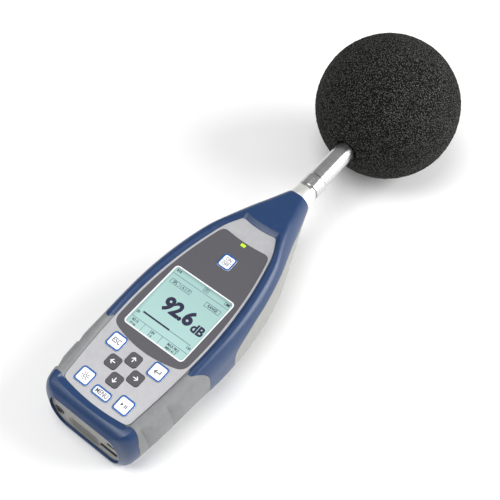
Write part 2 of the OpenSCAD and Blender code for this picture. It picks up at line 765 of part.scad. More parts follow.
module mic_diaphragm() {
  color([0.85, 0.85, 0.86]) lay_down() on_stem(mic_y0 + mic_l - 0.6) cylinder(r = mic_r - 0.82, h = 0.2);
}
module mic_grid() {
  color([0.7, 0.7, 0.71]) lay_down() on_stem(mic_y0 + mic_l) difference() {
    cylinder(r = mic_r, h = grid_l);
    translate([0, 0, -1]) cylinder(r = mic_r - 0.6, h = grid_l + 0.4);
    for (i = [-1:1]) translate([-4 + abs(i), i * 3 - 0.6, 0]) cube([8 - 2*abs(i), 1.2, 9]);
  }
}
module windscreen() {
  color([0.16, 0.16, 0.16]) lay_down() on_stem(ball_y) difference() {
    sphere(r = ball_r, $fn = 96);
    translate([0, 0, -ball_r - 5]) cylinder(r = mic_r + foam_gap, h = foam_bore + 5);
  }
}

front_shell();
back_shell();
grip_left();
grip_right();
face_plate();
display_bezel();
lcd_window();
lcd_frame();
lcd_module();
backlight();
status_led();
key_on_off();
key_esc();
key_enter();
key_up();
key_down();
key_left();
key_right();
key_backlight();
key_menu();
key_run();
tact_switches();
front_board();
main_board();
board_connector();
battery_tray();
batteries();
battery_contacts();
battery_door();
end_panel();
output_jack();
data_socket();
usb_socket();
card_socket();
memory_card();
tripod_insert();
case_screws();
neck_collar();
preamp_socket();
preamp_lead();
preamp_plug();
preamp_tube();
preamp_board();
coupling_ring();
mic_housing();
mic_insulator();
mic_backplate();
mic_diaphragm();
mic_grid();
windscreen();
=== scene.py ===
"""Sound level meter: the visual model around its CAD frame.

Everything is first built in the case's own frame in millimetres (x to the right, y from
the tail to the microphone, z out of the face) and then laid down into the row frame."""
import bpy, bmesh, math
import numpy as np
from mathutils import Matrix, Vector, noise
from mathutils.geometry import tessellate_polygon


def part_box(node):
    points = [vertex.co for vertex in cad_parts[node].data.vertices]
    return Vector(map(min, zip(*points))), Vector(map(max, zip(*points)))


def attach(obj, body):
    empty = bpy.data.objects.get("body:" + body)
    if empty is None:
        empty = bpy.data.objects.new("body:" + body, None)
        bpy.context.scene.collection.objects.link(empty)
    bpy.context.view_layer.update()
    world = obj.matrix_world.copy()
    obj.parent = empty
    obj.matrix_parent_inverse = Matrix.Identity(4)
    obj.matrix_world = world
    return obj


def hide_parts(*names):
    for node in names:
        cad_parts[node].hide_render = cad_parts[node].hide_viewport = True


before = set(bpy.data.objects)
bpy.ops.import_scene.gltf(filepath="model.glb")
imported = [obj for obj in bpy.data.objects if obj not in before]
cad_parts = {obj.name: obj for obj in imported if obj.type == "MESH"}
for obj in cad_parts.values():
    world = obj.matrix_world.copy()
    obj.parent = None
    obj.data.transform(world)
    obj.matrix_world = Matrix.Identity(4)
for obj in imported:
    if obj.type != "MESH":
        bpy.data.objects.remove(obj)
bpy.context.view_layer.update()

# ---- From the case's frame to the row frame ----
MM = 0.001
LIE_ANGLE = math.radians(5.32384)
LIE_LIFT = 0.198024
LIE_MID = 156.713
LAY = (Matrix.Scale(MM, 4) @ Matrix.Translation((0, -LIE_MID, -LIE_LIFT))
       @ Matrix.Rotation(LIE_ANGLE, 4, "X"))
END_LEAN, END_HIGH, END_REACH = 2, 34, 16  # the tail's end leans, over this height and length
END_ANGLE = math.atan(END_LEAN / END_HIGH)
TAIL = Matrix.Rotation(math.pi / 2 - END_ANGLE, 4, "X")
STEM_Z = 20


def stem(y):
    """Turns a lathe's axis into the stem's, with its foot at y."""
    return Matrix.Translation((0, y, STEM_Z)) @ Matrix.Rotation(-math.pi / 2, 4, "X")


# ---- The case's sections, as in the CAD ----
# Along y: half width, its height, half width of the top, top, half width of the bottom, bottom,
# and how full the lower corner is.
CASE = np.array([
    [0, 24.5, 17, 17, 30.5, 15, 2.5, .55], [2.5, 28.6, 18, 22, 33.2, 17, 0, .55],
    [7, 31, 20, 25, 35, 18, 0, .52], [20, 33.2, 22, 26.2, 34.2, 20, 0, .5],
    [36, 34.1, 22, 27.4, 34.2, 22, 0, .55], [52, 34.3, 22, 28.4, 34.2, 24, 0, .6],
    [68, 34.6, 22, 28.9, 34.2, 27, 0, .72], [84, 34.6, 22, 28.6, 34.2, 28, 0, .72],
    [100, 33.4, 22, 27.2, 34.2, 27, 0, .74], [116, 30.9, 22, 24.6, 34.2, 24.8, 0, .72],
    [132, 26.8, 22, 20.6, 34.4, 20, .8, .7], [146, 21.6, 21, 13.5, 34.8, 13.5, 3, .65],
    [158, 16.9, 20, 9, 33.4, 8, 6, .6], [168, 12.8, 20, 6, 31, 4, 9, .55],
    [180.5, 8, 20, 2, 28, 1, 12, .55]], float)
# Along y: half width of the face plate.
PLATE = np.array([[13, 22.4], [36, 24.7], [60, 26.1], [77, 26.2], [94, 25.1], [111, 22.8],
                  [128, 19.1], [137, 16.3], [146, 11.4]], float)
CROWN = 0.55
FACE_Z, PLATE_T = 33.0, 1.2
PLATE_Z = FACE_Z - PLATE_T
NECK_Y = 180.5
NO_CEILING = 99.0


def ease(tab, y):
    """A row of the table at y, eased between its neighbours."""
    i = int(np.clip(np.searchsorted(tab[:, 0], y, side="right") - 1, 0, len(tab) - 2))
    b, c = tab[i], tab[i + 1]
    a, d = tab[max(i - 1, 0)], tab[min(i + 2, len(tab) - 1)]
    h = c[0] - b[0]
    u = (y - b[0]) / h
    p, q = (c - a) / (c[0] - a[0]) * h, (d - b) / (d[0] - b[0]) * h
    return ((2*u**3 - 3*u*u + 1) * b + (u**3 - 2*u*u + u) * p
            + (3*u*u - 2*u**3) * c + (u**3 - u*u) * q)


def shifted(a, b, c, d, t, inset):
    """Points of a Bezier curve, moved inwards by inset."""
    t = np.asarray(t)[:, None]
    point = (1-t)**3 * a + 3*(1-t)**2*t * b + 3*(1-t)*t*t * c + t**3 * d
    slope = (1-t)**2 * (b-a) + 2*(1-t)*t * (c-b) + t*t * (d-c)
    inward = np.stack([-slope[:, 1], slope[:, 0]], 1) / np.linalg.norm(slope, axis=1)[:, None]
    return point + inset * inward


def half_section(y, inset=0.0, n=16):
    """The right half of the case's section, from the middle of the bottom to that of the top."""
    _, w, zw, flat, top, low, bottom, full = ease(CASE, y)
    t = np.linspace(0, 1, n + 1)
    A = np.array
    lower = shifted(A([low, bottom]), A([low + full*(w-low), bottom]),
                    A([w, zw - full*(zw-bottom)]), A([w, zw]), t, inset)
    upper = shifted(A([w, zw]), A([w, zw + CROWN*(top-zw)]),
                    A([flat + CROWN*(w-flat), top]), A([flat, top]), t, inset)
    return np.vstack([lower, upper[1:]])


def lean(y, z):
    """How far the leaning tail end pushes a point at (y, z) along y."""
    return END_LEAN * z / END_HIGH * max(0.0, 1 - y / END_REACH)


def ring(y, inset=0.0, n=16, ceiling=NO_CEILING):
    h = half_section(y, inset, n)
    right = [(x, y + lean(y, z), min(z, ceiling)) for x, z in h]
    left = [(-x, y + lean(y, z), min(z, ceiling)) for x, z in h[::-1]]
    return right + left


def stations(y0, y1, step):
    """Places along y: close together at the rounded tail, step apart elsewhere."""
    near = [y for y in (0, .3, .7, 1.2, 1.8, 2.5, 3.4, 4.5, 5.7, 7, 8.4, 10) if y0 <= y < y1]
    start = max(y0, 11.5)  # the tail's rounding ends here
    count = max(1, round((y1 - start) / step))
    rest = list(np.linspace(start, y1, count + 1)) if y1 > start else [y1]
    return near + [y for y in rest if not near or y > near[-1] + 0.2]


# ---- Mesh building ----
def mesh_object(name, verts, faces):
    me = bpy.data.meshes.new(name)
    me.from_pydata([tuple(map(float, v)) for v in verts], [], faces)
    bm = bmesh.new()
    bm.from_mesh(me)
    bmesh.ops.recalc_face_normals(bm, faces=bm.faces)
    bm.to_mesh(me)
    bm.free()
    ob = bpy.data.objects.new(name, me)
    bpy.context.scene.collection.objects.link(ob)
    return ob


def loft(name, rings, closed=False):
    """A skin through rings of equal count, capped unless it closes on itself."""
    n, m = len(rings[0]), len(rings)
    verts = [p for r in rings for p in r]
    last = m if closed else m - 1
    faces = [(j*n + i, j*n + (i+1) % n, ((j+1) % m)*n + (i+1) % n, ((j+1) % m)*n + i)
             for j in range(last) for i in range(n)]
    if not closed:
        faces += [tuple(range(n))[::-1], tuple((m-1)*n + i for i in range(n))]
    return mesh_object(name, verts, faces)


def case_solid(name, inset=0.0, y0=0.0, y1=NECK_Y, n=18, step=1.5):
    return loft(name, [ring(y, inset, n) for y in stations(y0, y1, step)])


def prism(name, outline, lo, hi, place):
    """An outline pushed from lo to hi; place turns (u, v, depth) into the case's frame."""
    return loft(name, [[tuple(place @ Vector((u, v, d))) for u, v in outline] for d in (lo, hi)])


ACROSS = Matrix(((0, 0, 1, 0), (1, 0, 0, 0), (0, 1, 0, 0), (0, 0, 0, 1)))
FLAT = Matrix.Identity(4)


def block(name, lo, hi):
    outline = [(lo[0], lo[1]), (hi[0], lo[1]), (hi[0], hi[1]), (lo[0], hi[1])]
    return prism(name, outline, lo[2], hi[2], FLAT)


def circle(r, n=48, x=0.0, y=0.0):
    return [(x + r*math.cos(2*math.pi*i/n), y + r*math.sin(2*math.pi*i/n)) for i in range(n)]


WELD = 0.002


def cut(base, *steps):
    """Runs Boolean steps, each an operation and the object that does it, and keeps the result."""
    for op, tool in steps:
        m = base.modifiers.new(op, "BOOLEAN")
        m.operation, m.solver, m.object = op, "EXACT", tool
    dg = bpy.context.evaluated_depsgraph_get()
    made = bpy.data.meshes.new_from_object(base.evaluated_get(dg))
    base.modifiers.clear()
    old, base.data = base.data, made
    bpy.data.meshes.remove(old)
    for tool in {t for _, t in steps}:
        bpy.data.objects.remove(tool)
    bm = bmesh.new()
    bm.from_mesh(made)
    bmesh.ops.remove_doubles(bm, verts=bm.verts, dist=WELD)
    bmesh.ops.dissolve_degenerate(bm, edges=bm.edges, dist=WELD)
    bm.to_mesh(made)
    bm.free()
    return base


def settle(ob, mat, body, *replaced, slot=None, angle=28, matrix=None):
    ob.data.transform(LAY @ matrix if matrix is not None else LAY)
    ob.data.shade_smooth()
    ob.data.set_sharp_from_angle(angle=math.radians(angle))
    ob.data.materials.clear()
    ob.data.materials.append(mat)
    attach(ob, body)
    if replaced:
        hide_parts(*replaced)
    return ob


def join(name, parts):
    """One mesh from several millimetre meshes."""
    verts, faces = [], []
    for p in parts:
        base = len(verts)
        verts += [tuple(v.co) for v in p.data.vertices]
        faces += [tuple(base + i for i in f.vertices) for f in p.data.polygons]
        bpy.data.objects.remove(p)
    me = bpy.data.meshes.new(name)
    me.from_pydata(verts, [], faces)
    ob = bpy.data.objects.new(name, me)
    bpy.context.scene.collection.objects.link(ob)
    return ob


def area(loop):
    """Positive for a loop that runs anticlockwise."""
    return sum(a[0]*b[1] - b[0]*a[1] for a, b in zip(loop, loop[1:] + loop[:1])) / 2


def moved(loop, distance):
    """A loop moved to its left by distance, keeping its number of points."""
    out, n = [], len(loop)
    for i in range(n):
        a, b, c = (Vector(loop[i-1]), Vector(loop[i]), Vector(loop[(i+1) % n]))
        u, v = (b - a).normalized(), (c - b).normalized()
        m = Vector((-u.y - v.y, u.x + v.x))
        m = m.normalized() if m.length > 1e-6 else Vector((-u.y, u.x))
        grow = min(1.6, 1 / max(0.4, m.dot(Vector((-u.y, u.x)))))
        out.append(tuple(b + m * distance * grow))
    return out


def slab(name, loops, z0, z1, bevel=0.0, steps=3):
    """A flat plate with holes. The first loop is the outline, and bevel rounds the top edges."""
    loops = [list(map(tuple, l)) for l in loops]
    loops = [l if (area(l) > 0) == (k == 0) else l[::-1] for k, l in enumerate(loops)]
    levels = [(0.0, z0), (0.0, z1 - bevel)]
    if bevel:
        turns = [math.pi / 2 * i / steps for i in range(1, steps + 1)]
        levels += [(bevel * (1 - math.cos(a)), z1 - bevel * (1 - math.sin(a))) for a in turns]
    verts, faces = [], []
    bottom, top = [], []
    for l in loops:
        n, start = len(l), len(verts)
        for d, z in levels:
            verts += [(x, y, z) for x, y in (moved(l, d) if d else l)]
        for j in range(len(levels) - 1):
            a = start + j * n
            faces += [(a + i, a + (i+1) % n, a + n + (i+1) % n, a + n + i) for i in range(n)]
        bottom += [start + i for i in range(n)]
        top += [start + (len(levels) - 1) * n + i for i in range(n)]
    flat = [[Vector((x, y, 0)) for x, y in l] for l in loops]
    for tri in tessellate_polygon(flat):
        faces.append(tuple(bottom[i] for i in tri)[::-1])
        faces.append(tuple(top[i] for i in tri))
    return mesh_object(name, verts, faces)


def lathe(name, profile, segments=96, closed=False):
    """Turns (radius, height) pairs about z. A closed profile makes a ring or a tube."""
    turns = [2 * math.pi * i / segments for i in range(segments)]
    rings = [[(max(r, 1e-3) * math.cos(a), max(r, 1e-3) * math.sin(a), s) for a in turns]
             for r, s in profile]
    return loft(name, rings, closed)


def round_rect(w, h, r, n=8, x=0.0, y=0.0):
    out = []
    for cx, cy, a0 in ((1, 1, 0), (-1, 1, 90), (-1, -1, 180), (1, -1, 270)):
        for i in range(n + 1):
            a = math.radians(a0 + 90 * i / n)
            out.append((x + cx*(w/2 - r) + r*math.cos(a), y + cy*(h/2 - r) + r*math.sin(a)))
    return out


def stroke(points, width):
    """The outline of a line through points, with square ends."""
    pts = [Vector(p) for p in points]
    left, right = [], []
    for i, p in enumerate(pts):
        u = (p - pts[i-1]).normalized() if i else (pts[1] - p).normalized()
        v = (pts[i+1] - p).normalized() if i < len(pts) - 1 else u
        m = Vector((-u.y - v.y, u.x + v.x)).normalized()
        k = width / 2 / max(0.5, m.dot(Vector((-u.y, u.x))))
        left.append(tuple(p + m * k))
        right.append(tuple(p - m * k))
    return left + right[::-1]


PRINT_T = 0.03
LETTER_HALF = 0.02  # half the thickness of a letter


def text(name, body, size, x, y, z, narrow=1.0, bold=0.0):
    """Letters centred on (x, y) that stand on z."""
    cu = bpy.data.curves.new(name, "FONT")
    cu.body, cu.size, cu.extrude, cu.offset = body, size, LETTER_HALF, bold
    cu.align_x, cu.align_y, cu.resolution_u = "CENTER", "CENTER", 4
    ob = bpy.data.objects.new(name, cu)
    bpy.context.scene.collection.objects.link(ob)
    dg = bpy.context.evaluated_depsgraph_get()
    me = bpy.data.meshes.new_from_object(ob.evaluated_get(dg))
    bpy.data.objects.remove(ob)
    me.transform(Matrix.Translation((x, y, z + LETTER_HALF))
                 @ Matrix.Diagonal((narrow, 1, 1, 1)))
    out = bpy.data.objects.new(name, me)
    bpy.context.scene.collection.objects.link(out)
    return out


def fitted_text(name, body, w, h, x, y, z, bold):
    """Print stretched to fill a box w wide and h high about (x, y)."""
    out = text(name, body, h, 0, 0, 0, bold=bold)
    co = np.array([v.co for v in out.data.vertices])
    lo, hi = co.min(0), co.max(0)
    grow = (w / (hi[0] - lo[0]), h / (hi[1] - lo[1]), 1)
    mid = Matrix.Translation((-(lo[0] + hi[0]) / 2, -(lo[1] + hi[1]) / 2, 0))
    out.data.transform(Matrix.Translation((x, y, z)) @ Matrix.Diagonal((*grow, 1)) @ mid)
    return out


# ---- Materials ----
def srgb(r, g, b):
    f = lambda c: (c/255/12.92) if c/255 <= 0.04045 else ((c/255 + 0.055) / 1.055) ** 2.4
    return (f(r), f(g), f(b), 1.0)


def scaled(color, k):
    return tuple(min(1.0, c * k) for c in color[:3]) + (1.0,)


GRAIN_DEPTH, FOAM_DEPTH = 0.00005, 0.0006  # metres


def new_material(name):
    mat = bpy.data.materials.new(name)
    mat.use_nodes = True
    return mat, mat.node_tree, mat.node_tree.nodes["Principled BSDF"]


def node(tree, kind, **values):
    """A new shader node with the named inputs set."""
    made = tree.nodes.new("ShaderNode" + kind)
    for key, value in values.items():
        made.inputs[key.replace("_", " ")].default_value = value
    return made


def ramped(tree, source, shader, start, end, dark, light):
    """Colours the shader from dark to light as the source goes from start to end."""
    ramp = node(tree, "ValToRGB")
    for stop, place, color in zip(ramp.color_ramp.elements, (start, end), (dark, light)):
        stop.position, stop.color = place, color
    tree.links.new(source, ramp.inputs["Fac"])
    tree.links.new(ramp.outputs["Color"], shader.inputs["Base Color"])


def relief(tree, source, shader, strength, depth):
    bump = node(tree, "Bump", Strength=strength, Distance=depth)
    tree.links.new(source, bump.inputs["Height"])
    tree.links.new(bump.outputs["Normal"], shader.inputs["Normal"])


def material(name, color, vary=0.04, scale=300.0, rough=0.5, rough_vary=0.06, grain=3000.0,
             bump=0.05, **sockets):
    """Colour, roughness and relief from noise in the object's own space."""
    mat, tree, shader = new_material(name)
    place = node(tree, "TexCoord").outputs["Object"]
    cloud = node(tree, "TexNoise", Scale=scale, Detail=4)
    fine = node(tree, "TexNoise", Scale=grain, Detail=2)
    for noise_node in (cloud, fine):
        tree.links.new(place, noise_node.inputs["Vector"])
    ramped(tree, cloud.outputs["Fac"], shader, 0.35, 0.65,
           scaled(color, 1 - vary), scaled(color, 1 + vary))
    sheen = node(tree, "MapRange", To_Min=max(0.02, rough - rough_vary),
                 To_Max=min(1.0, rough + rough_vary))
    tree.links.new(cloud.outputs["Fac"], sheen.inputs["Value"])
    tree.links.new(sheen.outputs["Result"], shader.inputs["Roughness"])
    relief(tree, fine.outputs["Fac"], shader, bump, GRAIN_DEPTH)
    for key, value in sockets.items():
        shader.inputs[key.replace("_", " ")].default_value = value
    return mat


def foam_material():
    """Pale strands round dark open cells."""
    mat, tree, shader = new_material("open_cell_foam")
    place = node(tree, "TexCoord").outputs["Object"]
    cells = node(tree, "TexVoronoi", Scale=1250, Randomness=1)
    grit = node(tree, "TexNoise", Scale=1700, Detail=3)
    for source in (cells, grit):
        tree.links.new(place, source.inputs["Vector"])
    mix = node(tree, "Math")
    mix.operation = "SUBTRACT"
    tree.links.new(grit.outputs["Fac"], mix.inputs[0])
    tree.links.new(cells.outputs["Distance"], mix.inputs[1])
    ramped(tree, mix.outputs["Value"], shader, 0.04, 0.4, srgb(18, 18, 18), srgb(104, 104, 100))
    relief(tree, mix.outputs["Value"], shader, 0.9, FOAM_DEPTH)
    shader.inputs["Roughness"].default_value = 1
    shader.inputs["Specular IOR Level"].default_value = 0.15
    return mat


BLUE = material("blue_moulding", srgb(27, 56, 97), vary=0.05, rough=0.34, bump=0.05)
WARM = material("light_grey_moulding", srgb(150, 150, 147), rough=0.5, bump=0.15)
RUBBER = material("grip_rubber", srgb(127, 128, 129), vary=0.05, rough=0.55, bump=0.25,
                  grain=4000)
SILVER = material("silver_foil", srgb(181, 181, 184), vary=0.03, rough=0.42, bump=0.06,
                  grain=6000, Metallic=0.25)
BEZEL = material("bezel_print", srgb(80, 79, 85), vary=0.06, scale=2500, rough=0.5, bump=0.1)
WHITE = material("key_white", srgb(250, 250, 252), vary=0.01, rough=0.3, bump=0.03)
RIM = material("key_blue_print", srgb(0, 88, 165), vary=0.04, rough=0.35)
DARK = material("key_dark", srgb(75, 74, 79), vary=0.05, scale=2000, rough=0.45, bump=0.1)
INK = material("grey_ink", srgb(72, 72, 78), vary=0.05, rough=0.5)
WHITE_INK = material("white_ink", srgb(244, 244, 246), vary=0.02, rough=0.5)
LED = material("led_lens", srgb(176, 226, 40), vary=0.06, rough=0.2,
               Emission_Color=srgb(190, 235, 40), Emission_Strength=0.35)
LCD_INK = material("display_segments", srgb(30, 28, 62), vary=0.05, rough=0.35)
LCD_FINE = material("display_fine_lines", srgb(56, 80, 92), vary=0.05, rough=0.35)
COLLAR = material("blasted_aluminium", srgb(226, 226, 222), vary=0.03, rough=0.42, bump=0.12,
                  grain=5000, Metallic=0.55)
STEEL = material("satin_steel", srgb(208, 208, 208), vary=0.04, rough=0.24, rough_vary=0.05,
                 bump=0.05, Metallic=1.0)
BRIGHT = material("bright_nickel", srgb(222, 221, 218), vary=0.03, rough=0.16, Metallic=1.0)
PANEL = material("panel_grey", srgb(146, 146, 142), vary=0.05, rough=0.5, bump=0.15)
SOCKET = material("socket_black", srgb(38, 38, 40), vary=0.08, rough=0.45, bump=0.1)
RIBBED = material("socket_grey", srgb(118, 118, 116), vary=0.06, rough=0.45, bump=0.1)
BLACK = material("black_moulding", srgb(30, 31, 33), vary=0.1, rough=0.5, bump=0.15)
BOARD = material("solder_mask", srgb(22, 92, 52), vary=0.12, scale=600, rough=0.35, bump=0.1)
BRASS = material("turned_brass", srgb(190, 160, 92), vary=0.06, rough=0.28, Metallic=1.0)
ZINC = material("zinc_screw", srgb(150, 150, 154), vary=0.08, rough=0.32, Metallic=1.0)
NICKEL = material("nickel_contact", srgb(200, 196, 184), vary=0.06, rough=0.25, Metallic=1.0)
CELL = material("cell_jacket", srgb(52, 58, 74), vary=0.1, scale=120, rough=0.3, Metallic=0.6)
GUIDE = material("light_guide", srgb(236, 240, 236), vary=0.02, rough=0.3)
BLOCK = material("contact_block", srgb(196, 184, 148), vary=0.06, rough=0.4)
SLEEVE = material("lead_sleeve", srgb(28, 28, 29), vary=0.1, rough=0.6, bump=0.15)
INSULATOR = material("clear_insulator", srgb(232, 228, 210), vary=0.03, rough=0.15)
FOAM = foam_material()


def display_material():
    """Teal film, with painted shade under its left and top edges, where the recess shades it, and a
    little painted shade towards its top.
    """
    mat = material("display_film", srgb(170, 204, 200), vary=0.012, scale=60, rough=0.2)
    tree = mat.node_tree
    shader = tree.nodes["Principled BSDF"]
    film = shader.inputs["Base Color"].links[0].from_socket
    split = node(tree, "SeparateXYZ")
    tree.links.new(node(tree, "TexCoord").outputs["Object"], split.inputs[0])
    lo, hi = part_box("lcd_window")
    middle = (lo.y + hi.y) / 2
    # Painted shade: the recess's inner shadow as dark bands along the left and top edges, and a
    # faint darkening towards the top.
    painted_shade_falls = (("X", lo.x + 0.0004, lo.x + 0.0035, 0.5, 0.0),
             ("Y", hi.y - 0.0045, hi.y - 0.0004, 0.0, 0.5),
             ("Y", middle - 0.022, middle + 0.018, 0.0, 0.16))
    shade = None
    for axis, start, end, at_start, at_end in painted_shade_falls:
        fall = node(tree, "MapRange", From_Min=start, From_Max=end, To_Min=at_start, To_Max=at_end)
        fall.interpolation_type = "SMOOTHSTEP"
        tree.links.new(split.outputs[axis], fall.inputs["Value"])
        if shade is None:
            shade = fall.outputs["Result"]
        else:
            deeper = node(tree, "Math")
            deeper.operation = "MAXIMUM"
            tree.links.new(shade, deeper.inputs[0])
            tree.links.new(fall.outputs["Result"], deeper.inputs[1])
            shade = deeper.outputs["Value"]
    mix = node(tree, "Mix")
    mix.data_type = "RGBA"
    light, dark = [s for s in mix.inputs if s.type == "RGBA"]
    # The colour of the painted shade.
    dark.default_value = srgb(92, 132, 130)
    tree.links.new(shade, mix.inputs["Factor"])
    tree.links.new(film, light)
    mixed = [s for s in mix.outputs if s.type == "RGBA"][0]
    tree.links.new(mixed, shader.inputs["Base Color"])
    return mat


def paint(mat, *names):
    """Gives CAD nodes that stay in view their material."""
    for name in names:
        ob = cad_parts[name]
        if not ob.material_slots:
            ob.data.materials.append(mat)
        for s in ob.material_slots:
            s.material = mat


# ---- Case ----
def spline(points, per=8):
    """A smooth line through points."""
    P = [Vector(p) for p in points]
    P = [2*P[0] - P[1]] + P + [2*P[-1] - P[-2]]
    out = []
    for i in range(1, len(P) - 2):
        for k in range(per):
            t = k / per
            out.append(tuple(0.5 * ((2*P[i]) + (P[i+1] - P[i-1])*t
                                    + (2*P[i-1] - 5*P[i] + 4*P[i+1] - P[i+2])*t*t
                                    + (3*P[i] - P[i-1] - 3*P[i+1] + P[i+2])*t**3)))
    return out + [tuple(P[-2])]


SPLIT_Y = 80.6  # where the grey back begins
SPLIT = [(SPLIT_Y, 12), (81, 17.2), (82.5, 20.5), (86, 23.3), (92, 25.2), (101, 26.8), (110, 27.3),
         (118, 27.6), (128, 27.9), (138, 27.5), (152, 25.8), (165, 22.3), (NECK_Y + 1, STEM_Z)]
PANEL_X, PANEL_Y0, PANEL_Y1, PANEL_Z = 27.6, 10, 84, 3.0
FAR = 40  # past the case's sides


def back_side(name, gap, panel_gap):
    """The two bodies that together hold the light grey back."""
    line = [(SPLIT_Y + gap, -1), (SPLIT_Y + gap, 9)]
    line += [(y + 0.4*gap, z - gap) for y, z in spline(SPLIT)] + [(NECK_Y + 1, -1)]
    wide = PANEL_X - panel_gap
    return [prism(name, line, -FAR, FAR, ACROSS),
            block(name + "_panel", (-wide, PANEL_Y0 + panel_gap, -1),
                  (wide, PANEL_Y1, PANEL_Z - panel_gap))]


def face_outline(y0, y1, side, bow0, dip1, n=48, m=24):
    """Sides follow the plate's table, the bottom bows to the tail and the top dips."""
    right = [(ease(PLATE, y)[1] - side, y) for y in np.linspace(y0, y1, n + 1)]
    w0, w1 = right[0][0], right[-1][0]
    top = [(x, y1 - dip1 + dip1 * (x/w1)**2) for x in (w1*(1 - 2*i/m) for i in range(1, m))]
    left = [(-x, y) for x, y in right[::-1]]
    low = [(x, y0 - bow0 + bow0 * (x/w0)**2) for x in (w0*(2*i/m - 1) for i in range(1, m))]
    corners = [0, len(right) - 1, len(right) + len(top), len(right) + len(top) + len(left) - 1]
    return right + top + left + low, corners


def filleted(outline, corners, radii, n=7):
    """Rounds the named corners: each radius is how far along the outline its curve starts."""
    N = len(outline)
    P = [Vector(p) for p in outline]

    def walk(i, step, distance):
        gone = 0.0
        while True:
            j = (i + step) % N
            d = (P[j] - P[i]).length
            if gone + d >= distance:
                return i, P[i] + (P[j] - P[i]) * ((distance - gone) / d)
            gone, i = gone + d, j

    spans = []
    for c, r in zip(corners, radii):
        i0, a = walk(c, -1, r)
        i1, b = walk(c, 1, r)
        arc = [tuple((1-t)**2 * a + 2*t*(1-t) * P[c] + t*t * b) for t in np.linspace(0, 1, n)]
        spans.append(((i0 - 1) % N, (i1 + 1) % N, arc))
    out = []
    for k, (_, i1, arc) in enumerate(spans):
        out += arc
        stop = spans[(k + 1) % len(spans)][0]
        i = i1
        while True:
            out.append(tuple(P[i]))
            if i == stop:
                break
            i = (i + 1) % N
    return out


PLATE_Y0, PLATE_Y1, PLATE_BOW, PLATE_DIP = 13, 146, 2.1, 1.2
BEZEL_Y0, BEZEL_Y1, BEZEL_IN, BEZEL_BOW, BEZEL_DIP = 52.9, 134.4, 1.35, 4.5, 1.4


def plate_sides(inset):
    return face_outline(PLATE_Y0 + inset, PLATE_Y1 - inset, inset, PLATE_BOW, PLATE_DIP)


def plate_loop(grow=0.0):
    return filleted(*plate_sides(-grow), (2.6, 1.6, 1.6, 2.6))


def bezel_loop(grow=0.0):
    outline, corners = face_outline(BEZEL_Y0 - grow, BEZEL_Y1 + grow, BEZEL_IN - grow,
                                    BEZEL_BOW, BEZEL_DIP)
    return filleted(outline, corners, (4.6, 4.0, 4.0, 4.6))


DISH_MID, DISH_LIP, DISH_SLOPE, DISH_RISE = 80.0, 0.45, 1.56, 5
DISH_FOOT = FACE_Z - 0.15


def dish(name):
    """The slope round the plate, eased at its foot."""
    base = plate_loop()

    def grown(grow, z):
        out = []
        for x, y in base:
            k = 1 + grow / math.hypot(x, y - DISH_MID)
            out.append((x*k, DISH_MID + (y - DISH_MID)*k, z))
        return out

    foot = [grown(DISH_LIP - 0.1, DISH_FOOT), grown(DISH_LIP + 0.12, DISH_FOOT + 0.06)]
    return loft(name, foot + [grown(DISH_LIP + DISH_SLOPE * DISH_RISE, DISH_FOOT + DISH_RISE)])


def plate_pocket(name, gap=0.1):
    return prism(name, plate_loop(gap), PLATE_Z, PLATE_Z + 6, FLAT)


GRIP_Y0, GRIP_Y1, GRIP_LOBE, GRIP_T = 9.0, 61.0, 11.0, 2.3
GRIP_LOW_X, GRIP_TOP_X, GRIP_TOP_Z = 27.9, 18, 20  # the grip reaches further in above GRIP_TOP_Z
GRIP_WALL = 0.9  # how much further in the case's inner wall runs behind the grips
SCOOP_DEPTH, SCOOP_FALL = 2.0, 1.15
SCOOPS = ((32.2, 20.5, 12.5, 9), (15.0, 22, 12, 8.5))  # start, middle, half height, length


def grip_outline(gap):
    """The grip from the side, as (y, z)."""
    turns = [math.radians(a) for a in range(90, -1, -5)]
    lobe = [(GRIP_Y1 - GRIP_LOBE + (GRIP_LOBE - gap) * math.cos(a),
             FACE_Z + 1.2 - GRIP_LOBE + (GRIP_LOBE - gap) * math.sin(a)) for a in turns]
    top = [(p[0], FACE_Z + 3) for p in lobe[:1]] + [p for p in lobe if p[1] < FACE_Z + 1.0 - gap]
    start = [(GRIP_Y0 + gap, -1), (GRIP_Y0 + 0.2 + gap, FACE_Z - 16),
             (GRIP_Y0 + 0.9 + gap, FACE_Z - 7), (13.5 + gap, FACE_Z + 3)]
    return start + top + [(GRIP_Y1 - gap, -1)]


def grip_region(name, side, gap):
    outline = grip_outline(gap)
    low = prism(name, outline, *sorted((side * (GRIP_LOW_X + gap), side * FAR)), ACROSS)
    high = prism(name + "_top", outline, *sorted((side * GRIP_TOP_X, side * FAR)), ACROSS)
    cover = block(name + "_cover", (-FAR - 1, 0, GRIP_TOP_Z), (FAR + 1, 100, 60))
    return cut(low, ("UNION", cut(high, ("INTERSECT", cover))))


def tail_outline(inset):
    """The case's section at its tail, moved in, on the leaning end plane."""
    h = half_section(0.6, inset, 20)
    right = [(x, z / math.cos(END_ANGLE)) for x, z in h]
    return right + [(-x, z) for x, z in right[::-1]]


CAVITY_WALL = 2.2
LEDGE = 1.6  # how far the plate's seat reaches in under it
SCREWS = [(25.9, 94), (-25.9, 94), (21.5, 121), (-21.5, 121)]
POST_FOOT = 1.5  # inside the back's wall
POST_R, POST_TOP, HEAD_R, HEAD_SINK, SHANK_R = 4.2, 5, 3.0, 2.6, 1.7
TRIPOD_Y, TRIPOD_POST_R, TRIPOD_TOP, TRIPOD_R = 106, 6.5, 9.5, 4.5
BAY_X, BAY_Y0, BAY_Y1 = 25.9, 19.2, 83.8  # the battery door's opening
PANEL_BED, PANEL_RIM, PANEL_HOLE = -3.6, 1.5, 3.5  # the tail panel's seat, its edge and the hole
NECK_R = 5.2


